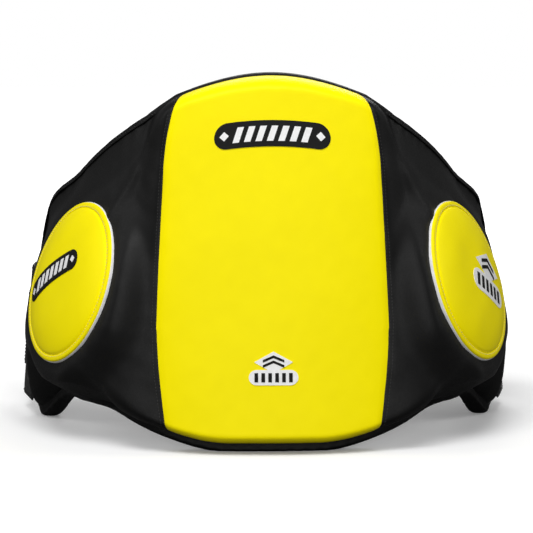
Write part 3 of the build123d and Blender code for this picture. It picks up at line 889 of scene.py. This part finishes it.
def disc(top, bottom):
    """Closed mesh of two polar grids, whose first ring is a small cap."""
    rows, columns = top.shape[:2]
    count = rows * columns
    faces = [tuple(q) for q in grid_quads(rows, columns, wrap_columns=True)]
    faces += [tuple(q) for q in grid_quads(rows, columns, count, wrap_columns=True)]
    faces += [tuple(range(columns)), tuple(range(count, count + columns))]
    rim = np.arange(count - columns, count)
    following = np.roll(rim, -1)
    faces += [tuple(q) for q in np.stack([rim, following, following + count, rim + count], axis=-1)]
    return np.concatenate([top.reshape(-1, 3), bottom.reshape(-1, 3)]), faces


def ring_mesh(section):
    """Closed ring from a grid (round the section, round the patch)."""
    return section.reshape(-1, 3), grid_quads(*section.shape[:2], wrap_rows=True, wrap_columns=True)


def make_patch(side, word):
    seed = 31 + 7 * side
    radii = np.concatenate([[0.6], np.linspace(5, 70, 22), np.linspace(71.5, 80, 9), np.linspace(80.6, 84, 8),
                            np.linspace(85, PATCH_RADIUS - 0.4, 4)])
    r, a, b = polar(radii, 168)
    edge = PATCH_RADIUS - 0.4
    height = patch_height(r, a, b, seed, side) - 0.8 * smooth((r - edge + 1.4) / 1.4)
    under = height - 1.3
    cover = make(f"target_cover_{word}",
                 disc(patch_point(a, b, height, side), patch_point(a, b, under, side)),
                 YELLOW, "pad", [f"patch_cover_{word}"])
    r, a, b = polar(np.concatenate([[0.6], np.linspace(6, PATCH_RADIUS - PATCH_FLANGE - 1, 24)]), 96)
    top = patch_height(r, a, b, seed, side) - 1.9
    wing = wing_under(a, b, seed, side) + 0.3
    filling = make(f"target_foam_{word}",
                   disc(patch_point(a, b, np.maximum(top, wing + 0.5), side), patch_point(a, b, wing, side)),
                   FOAM, "pad", [f"patch_foam_{word}"])
    turn = 2 * pi * np.arange(180) / 180
    a_rim, b_rim = PATCH_RADIUS * np.cos(turn), PATCH_RADIUS * np.sin(turn)
    rim_top = PATCH_FOLLOW * wing_under(a_rim, b_rim, seed, side) + 0.7
    rim_low = np.minimum(wing_under(a_rim, b_rim, seed, side) - 0.8, rim_top - 2.0)
    section = [(-2.2, 0.0), (-2.2, 0.95), (-0.9, 1.0), (-0.1, 0.97), (0.3, 0.85), (0.5, 0.5), (0.7, 0.15),
               (0.2, 0.0)]
    rings = []
    for out, share in section:
        radius = PATCH_RADIUS + out
        height = rim_low + (rim_top - rim_low) * share
        rings.append(patch_point(radius * np.cos(turn), radius * np.sin(turn), height, side))
    make(f"target_piping_{word}", ring_mesh(np.stack(rings)), WHITE, "pad", [f"patch_welt_{word}"])
    inner = PATCH_RADIUS - PATCH_FLANGE + 1.8
    turn = np.append(turn, 0.0)
    a_row, b_row = inner * np.cos(turn), inner * np.sin(turn)
    height = patch_height(np.full_like(a_row, inner), a_row, b_row, seed, side)
    line = patch_point(a_row, b_row, height, side)
    normal = np.broadcast_to(PATCH[3] * np.array([side, 1.0, 1.0]), line.shape)
    make(f"target_stitches_{word}", stitches(line, normal, pitch=3.6, length=2.5, radius=0.38), PALE_THREAD)


# ---------------------------------------------------------------- generic emblems
def plate(outline_of, mapper, low, high, across=24, up=8):
    """Closed thin plate: outline_of maps the unit square to (x, y) and mapper lays that on a face."""
    u, v = np.meshgrid(np.linspace(0, 1, across), np.linspace(0, 1, up), indexing="ij")
    x, y = outline_of(u, v)
    return shell(mapper(x, y, high), mapper(x, y, low))


def capsule(width, height):
    def outline_of(u, v):
        x = -width / 2 * np.cos(pi * u)
        past = np.clip(np.abs(x) - (width - height) / 2, 0, height / 2)
        half = np.sqrt(np.maximum((height / 2) ** 2 - past**2, 0.09))
        return x, (2 * v - 1) * half
    return outline_of


def bar(x, y, width, height, slant=0.0):
    return lambda u, v: (x + (u - 0.5) * width + slant * (v - 0.5), y + (v - 0.5) * height)


def diamond(x, y, width, height):
    return lambda u, v: (x + (u - v) * width / 2, y + (u + v - 1) * height / 2)


def wide_badge(name, mapper, size, replaces, body="pad"):
    """Black capsule on a slight arch, with a row of slanted white bars between two diamonds."""
    arch = lambda x, y, h: mapper(x * size, (y - 0.0016 * x * x) * size, h)
    back = [plate(capsule(112, 25), arch, 0.1, 0.75, 64, 12)]
    marks = [plate(bar(x, 0, 6.2, 14.5, 5.0), arch, 0.6, 1.15, 6, 8) for x in np.linspace(-33, 33, 7)]
    marks += [plate(diamond(x, 0, 9, 9), arch, 0.6, 1.15, 6, 6) for x in (-46.5, 46.5)]
    make(name, joined(back), PRINT_BLACK, body, replaces)
    make(f"{name}_marks", joined(marks), PRINT_WHITE, body)


def small_crest(name, mapper, size, replaces, body="pad"):
    """White lozenge plate with dark chevrons over a row of short bars."""
    lay = lambda x, y, h: mapper(x * size, y * size, h)
    back = [plate(capsule(46, 15), lambda x, y, h: lay(x, y - 8.5, h), 0.1, 0.6, 32, 8)]
    back += [plate(diamond(0, 6.5, 36, 21), lay, 0.1, 0.62, 12, 12)]
    marks = [plate(bar(x, -8.5, 3.4, 9.0), lay, 0.5, 0.95, 4, 6) for x in np.linspace(-16, 16, 6)]
    for level in (2.5, 7.5):
        for way in (-1, 1):
            marks.append(plate(
                lambda u, v, w=way, y0=level: (w * u * 10.0, y0 + 4.5 * (1 - u) + (v - 0.5) * 2.6),
                lay, 0.5, 0.95, 8, 4))
    make(name, joined(back), PRINT_WHITE, body, replaces)
    make(f"{name}_marks", joined(marks), PRINT_BLACK, body)


def on_front(z_middle):
    return lambda x, y, h: place(x, z_middle + y, front_height(x, z_middle + y) + h)


def on_patch(side, a0, b0, tilt):
    seed = 31 + 7 * side

    def lay(x, y, h):
        a = side * (x * cos(tilt) - y * sin(tilt)) + a0
        b = x * sin(tilt) + y * cos(tilt) + b0
        return patch_point(a, b, patch_height(np.hypot(a, b), a, b, seed, side) + h, side)
    return lay


def make_emblems():
    wide_badge("upper_badge", on_front(333.0), 1.08, ["upper_emblem"])
    small_crest("lower_crest", on_front(91.0), 1.05, ["lower_emblem"])
    wide_badge("left_target_badge", on_patch(-1, 22.0, 5.0, radians(30)), 0.95, ["patch_badge_left"])
    small_crest("right_target_crest", on_patch(1, 27.0, -2.0, radians(-30)), 1.65, ["patch_badge_right"])


# ---------------------------------------------------------------- belts
def belt_axes():
    foot, head = spot(HINGE_S, 0.0, BELT_LIFT), spot(HINGE_S, 100.0, BELT_LIFT)
    heading = float(plan(np.array(HINGE_S))[2])
    back = np.array([cos(heading), sin(heading), 0.0])
    up = (head - foot) / np.linalg.norm(head - foot)
    return foot, back, np.cross(up, back), up


BELT = belt_axes()


def belt_point(x, y, z, side):
    points = BELT[0] + np.asarray(x)[..., None] * BELT[1] + np.asarray(y)[..., None] * BELT[2]
    points = points + np.asarray(z)[..., None] * BELT[3]
    return metres(points * np.array([side, 1.0, 1.0]))


def walk(runs, start):
    """Corner points (x, y, heading) of a route of (length, turn in degrees) runs."""
    x, y, heading = start, 0.0, 0.0
    stops = [(x, y, heading)]
    for length, turn in runs:
        turn = radians(turn)
        if turn:
            radius = length / turn
            x += radius * (sin(heading + turn) - sin(heading))
            y += radius * (cos(heading) - cos(heading + turn))
            heading += turn
        else:
            x += length * cos(heading)
            y += length * sin(heading)
        stops.append((x, y, heading))
    return stops


def route(runs, start, step=1.5):
    """x, y and heading at even steps along the runs, with the distance travelled."""
    xs, ys, headings = [], [], []
    place_now = (start, 0.0, 0.0)
    for length, turn in runs:
        count = max(int(length / step), 2)
        for k in range(count):
            share = k / count
            stop = walk([(length * share, turn * share)], 0.0)[-1] if k else (0.0, 0.0, 0.0)
            c, d = cos(place_now[2]), sin(place_now[2])
            xs.append(place_now[0] + stop[0] * c - stop[1] * d)
            ys.append(place_now[1] + stop[0] * d + stop[1] * c)
            headings.append(place_now[2] + stop[2])
        stop = walk([(length, turn)], 0.0)[-1]
        c, d = cos(place_now[2]), sin(place_now[2])
        place_now = (place_now[0] + stop[0] * c - stop[1] * d, place_now[1] + stop[0] * d + stop[1] * c,
                     place_now[2] + stop[2])
    xs.append(place_now[0])
    ys.append(place_now[1])
    headings.append(place_now[2])
    xs, ys, headings = (np.array(v) for v in (xs, ys, headings))
    travel = np.concatenate([[0], np.cumsum(np.hypot(np.diff(xs), np.diff(ys)))])
    return xs, ys, headings, travel


def strap(line, low, high, side, offset, thick, relief, across=60):
    """Closed strap along a route: offset of its middle to the left, and relief(travel, z) on both faces."""
    x, y, heading, travel = line
    z = low + (high - low) * crowded(across, 0.45)
    travel_grid, z_grid = np.meshgrid(travel, z, indexing="ij")
    from_edge = np.minimum(np.minimum(z_grid - low, high - z_grid),
                           np.minimum(travel_grid, travel[-1] - travel_grid))
    round_off = np.sqrt(1 - np.clip(1 - from_edge / 1.6, 0, 0.97) ** 2)
    faces = []
    for way in (-1, 1):
        shift = offset + way * (thick / 2 * round_off + relief(travel_grid, z_grid) * smooth(from_edge / 2))
        faces.append(belt_point(x[:, None] - np.sin(heading)[:, None] * shift,
                                y[:, None] + np.cos(heading)[:, None] * shift, z_grid, side))
    strip = np.concatenate([np.stack([travel_grid, z_grid, 0 * z_grid], axis=-1).reshape(-1, 3)] * 2)
    return shell(*faces), {"strip": strip}


def strap_row(line, side, offset, from_share, to_share, z_from, z_to):
    """(points, normals) of a straight sewn line on a strap's face."""
    x, y, heading, travel = line
    count = 80
    at = np.linspace(from_share, to_share, count) * travel[-1]
    z = np.linspace(z_from, z_to, count)
    px, py, ph = (np.interp(at, travel, v) for v in (x, y, heading))
    points = belt_point(px - np.sin(ph) * offset, py + np.cos(ph) * offset, z, side)
    far = offset + (1.0 if offset > 0 else -1.0)
    ahead = belt_point(px - np.sin(ph) * far, py + np.cos(ph) * far, z, side)
    normals = ahead - points
    return points, normals / np.linalg.norm(normals, axis=1, keepdims=True)


def sewn_box(line, side, face, inset, low, high, from_share=0.0, to_share=1.0):
    """Stitches round a rectangle on both faces of a strap."""
    travel = line[3][-1]
    a, b = from_share + inset / travel, to_share - inset / travel
    rows = []
    for offset in face:
        rows.append(stitches(*strap_row(line, side, offset, a, b, low + inset, low + inset)))
        rows.append(stitches(*strap_row(line, side, offset, a, b, high - inset, high - inset)))
        rows.append(stitches(*strap_row(line, side, offset, a, a, low + inset, high - inset)))
        rows.append(stitches(*strap_row(line, side, offset, b, b, low + inset, high - inset)))
    return rows


def sewn_relief(inset, low, high, length):
    """Faces swell a little between the sewn lines, which lie inset from the edges."""
    def relief(travel, z):
        near = np.minimum(np.minimum(z - low, high - z), np.minimum(travel, length - travel))
        return (0.25 * smooth((near - inset) / 8) - 0.3 * bell(near - inset, 0.9)
                + 0.08 * waves(travel, z, 51, 40.0))
    return relief


def make_ring_belt():
    side = -1
    runs = [(ANCHOR_LENGTH + 2 * FOLD_GAP + RING_BELT_RUNS[0][0], 0.0)] + RING_BELT_RUNS[1:]
    line = route(runs, -FOLD_GAP - ANCHOR_LENGTH)
    length = line[3][-1]
    geometry, attributes = strap(line, BELT_LOW, BELT_HIGH, side, 0.0, BELT_THICK,
                                 sewn_relief(4.0, BELT_LOW, BELT_HIGH, length), 90)
    belt = make("leather_ring_belt", geometry, BELT_BLACK, None, ["ring_belt", "belt_anchor_left"],
                attributes)
    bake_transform(belt)
    rows = sewn_box(line, side, (-BELT_THICK / 2 - 0.15, BELT_THICK / 2 + 0.15), 4.0, BELT_LOW, BELT_HIGH)
    thread = make("ring_belt_stitches", joined(rows), BLACK_THREAD, None)
    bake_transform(thread)


def ring_place():
    x, y, heading = walk(RING_BELT_RUNS, FOLD_GAP)[-1]
    reach = 9.0
    return x + cos(heading) * reach, y + sin(heading) * reach, heading


def make_ring_loop():
    """Webbing folded round the ring's near bar, with both tails sewn to the belt's end."""
    side = -1
    x0, y0, heading = ring_place()
    bore, wall, tail = RING_WIRE + 0.3, 1.5, 30.0
    half = RING_HEIGHT / 2 - 14
    turn = np.linspace(-pi / 2, pi / 2, 15)
    along = np.concatenate([np.linspace(-tail, -1, 22), (bore + wall / 2) * np.cos(turn),
                            np.linspace(-1, -tail, 22)])
    out = np.concatenate([np.full(22, -bore - wall / 2), (bore + wall / 2) * np.sin(turn),
                          np.full(22, bore + wall / 2)])
    d_along, d_out = np.gradient(along), np.gradient(out)
    size = np.hypot(d_along, d_out)
    z = np.linspace(BELT_MIDDLE - half, BELT_MIDDLE + half, 110)
    rib = 0.14 * np.sin(2 * pi * z / 2.0)
    edge = np.minimum(z - z[0], z[-1] - z)
    round_off = np.sqrt(1 - np.clip(1 - edge / 1.0, 0, 0.95) ** 2)
    faces = []
    for way in (-1, 1):
        shift = way * (wall / 2 * round_off + rib)
        la = along[:, None] + (d_out / size)[:, None] * shift
        lo = out[:, None] - (d_along / size)[:, None] * shift
        faces.append(belt_point(x0 + cos(heading) * la - sin(heading) * lo,
                                y0 + sin(heading) * la + cos(heading) * lo,
                                np.broadcast_to(z, la.shape), side))
    travel = np.concatenate([[0], np.cumsum(np.hypot(np.diff(along), np.diff(out)))])
    t_grid, z_grid = np.meshgrid(travel, z, indexing="ij")
    strip = np.concatenate([np.stack([t_grid, z_grid, 0 * z_grid], axis=-1).reshape(-1, 3)] * 2)
    make("webbing_loop", shell(*faces), WEBBING, "ring_side_belt", ["ring_loop"],
         {"strip": strip})
    rows = []
    for offset in (-bore - wall - 0.15, bore + wall + 0.15):
        for at in (-tail + 3.0, -12.0):
            count = 70
            zs = np.linspace(z[0] + 3, z[-1] - 3, count)
            a = np.full(count, at)
            points = belt_point(x0 + cos(heading) * a - sin(heading) * offset,
                                y0 + sin(heading) * a + cos(heading) * offset, zs, side)
            far = offset * 1.2
            ahead = belt_point(x0 + cos(heading) * a - sin(heading) * far,
                               y0 + sin(heading) * a + cos(heading) * far, zs, side)
            normals = ahead - points
            rows.append(stitches(points, normals / np.linalg.norm(normals, axis=1, keepdims=True),
                                 radius=0.45))
    make("webbing_loop_stitches", joined(rows), BLACK_THREAD, "ring_side_belt")


def make_strap():
    side = 1
    runs = [(2 * FOLD_GAP + STRAP_RUNS[0][0], 0.0)] + STRAP_RUNS[1:]
    line = route(runs, -FOLD_GAP)
    rib = lambda travel, z: 0.22 * np.sin(2 * pi * z / 2.6) + 0.1 * waves(travel, z, 61, 50.0)
    geometry, attributes = strap(line, BELT_LOW, BELT_HIGH, side, 0.0, BELT_THICK - 0.5, rib, 300)
    belt = make("elastic_strap", geometry, ELASTIC, None, ["strap_belt"], attributes)
    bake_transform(belt)
    anchor_line = route([(ANCHOR_LENGTH, 0.0)], -FOLD_GAP - ANCHOR_LENGTH)
    geometry, attributes = strap(anchor_line, BELT_LOW, BELT_HIGH, side, 0.0, BELT_THICK,
                                 sewn_relief(4.0, BELT_LOW, BELT_HIGH, ANCHOR_LENGTH), 90)
    make("leather_anchor_right", geometry, BELT_BLACK, "pad", ["belt_anchor_right"],
         attributes)
    rows = sewn_box(anchor_line, side, (-BELT_THICK / 2 - 0.15, BELT_THICK / 2 + 0.15), 4.0, BELT_LOW,
                    BELT_HIGH)
    make("anchor_stitches_right", joined(rows), BLACK_THREAD, "pad")
    corner = walk(STRAP_RUNS[:-1], FOLD_GAP)[-1]
    length = STRAP_RUNS[-1][0] - 6
    straight = np.linspace(2.0, 2.0 + length, 110)
    field = (corner[0] + straight * cos(corner[2]), corner[1] + straight * sin(corner[2]),
             np.full_like(straight, corner[2]), straight - 2.0)
    rng = np.random.default_rng(62)
    fuzz = rng.uniform(-0.12, 0.16, (110, 120))
    geometry, attributes = strap(field, BELT_LOW + 20, BELT_HIGH - 20, side, -1.95, 1.0, lambda a, b: fuzz,
                                 120)
    make("loop_pile_field", geometry, PILE, "strap_side_belt", ["loop_field"],
         attributes)
    rows = sewn_box(field, side, (-2.6,), 2.0, BELT_LOW + 20, BELT_HIGH - 20)
    make("loop_field_stitches", joined(rows), BLACK_THREAD, "strap_side_belt")


def make_tongue():
    """Leather tongue folded back over the strap, with its hook field on the inner face."""
    side = 1
    x, y, heading = walk(STRAP_RUNS, FOLD_GAP)[-1]
    x, y = x + 3.0 * cos(heading), y + 3.0 * sin(heading)
    x, y = x + sin(heading) * TONGUE_OFFSET, y - cos(heading) * TONGUE_OFFSET
    low, high = BELT_MIDDLE - TONGUE_HEIGHT / 2, BELT_MIDDLE + TONGUE_HEIGHT / 2

    def straight(from_fold, length, count):
        t = np.linspace(0, length, count)
        return (x - (from_fold + t) * cos(heading), y - (from_fold + t) * sin(heading),
                np.full(count, heading), t)

    line = straight(2.0, TONGUE_LENGTH, 60)
    geometry, attributes = strap(line, low, high, side, -TONGUE_OFFSET, BELT_THICK - 0.4,
                                 sewn_relief(4.0, low, high, TONGUE_LENGTH), 80)
    make("leather_tongue", geometry, BELT_BLACK, "tongue", ["strap_tongue"], attributes)
    rows = sewn_box(line, side, (-TONGUE_OFFSET - BELT_THICK / 2,), 4.0, low, high)
    make("tongue_stitches", joined(rows), BLACK_THREAD, "tongue")
    length = TONGUE_LENGTH - 22
    hooks = straight(TONGUE_LENGTH / 2 + 7.0 - length / 2, length, 90)
    bumps = lambda t, z: 0.1 * np.sign(np.sin(2 * pi * t / 1.6)) * np.sign(np.sin(2 * pi * z / 1.6))
    geometry, attributes = strap(hooks, low + 7, high - 7, side, -0.62, 0.6, bumps, 110)
    make("hook_tape_field", geometry, PILE, "tongue", ["hook_field"], attributes)
    turn = np.linspace(pi / 2, -pi / 2, 15)
    z = np.linspace(low + 1.0, high - 1.0, 60)
    faces = []
    for size in (TONGUE_OFFSET + 1.0, TONGUE_OFFSET - 1.0):
        along = np.concatenate([[-6.0, -3.0], size * np.cos(turn), [-3.0, -6.0]])
        out = np.concatenate([[size, size], size * np.sin(turn), [-size, -size]])
        px = x + along * cos(heading) - out * sin(heading)
        py = y + along * sin(heading) + out * cos(heading)
        faces.append(belt_point(np.repeat(px[:, None], 60, 1), np.repeat(py[:, None], 60, 1),
                                np.broadcast_to(z, (len(px), 60)), side))
    fold = make("tongue_fold", shell(*faces), BELT_BLACK, None)
    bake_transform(fold)


def make_rivets():
    """Domed nickel caps with a rolled rim, three to an anchor."""
    profile = [(0.4, 2.75), (2.2, 2.65), (3.9, 2.3), (5.2, 1.7), (6.0, 1.1), (6.4, 0.85), (7.0, 0.8),
               (7.3, 0.45),
               (7.1, 0.1), (6.6, -0.2)]
    turn = 2 * pi * np.arange(28) / 28
    for side, word in ((-1, "left"), (1, "right")):
        caps = []
        for level in (BELT_LOW + 26, BELT_MIDDLE, BELT_HIGH - 26):
            rings = []
            for radius, lift in profile:
                x = -FOLD_GAP - ANCHOR_LENGTH / 2 + radius * np.cos(turn)
                z = level + radius * np.sin(turn)
                rings.append(belt_point(x, np.full(28, -BELT_THICK / 2 - lift), z, side))
            caps.append(tube(np.stack(rings)))
        make(f"rivet_caps_{word}", joined(caps), STEEL, "pad", [f"anchor_rivets_{word}"])


make_covers()
make_foam()
make_tapes()
make_seams()
for patch_side, patch_word in ((-1, "left"), (1, "right")):
    make_patch(patch_side, patch_word)
make_emblems()
make_ring_belt()
make_ring_loop()
make_strap()
make_tongue()
make_rivets()

steel_ring = frame["nodes"]["steel_ring"]
steel_ring.data.materials.clear()
steel_ring.data.materials.append(STEEL)
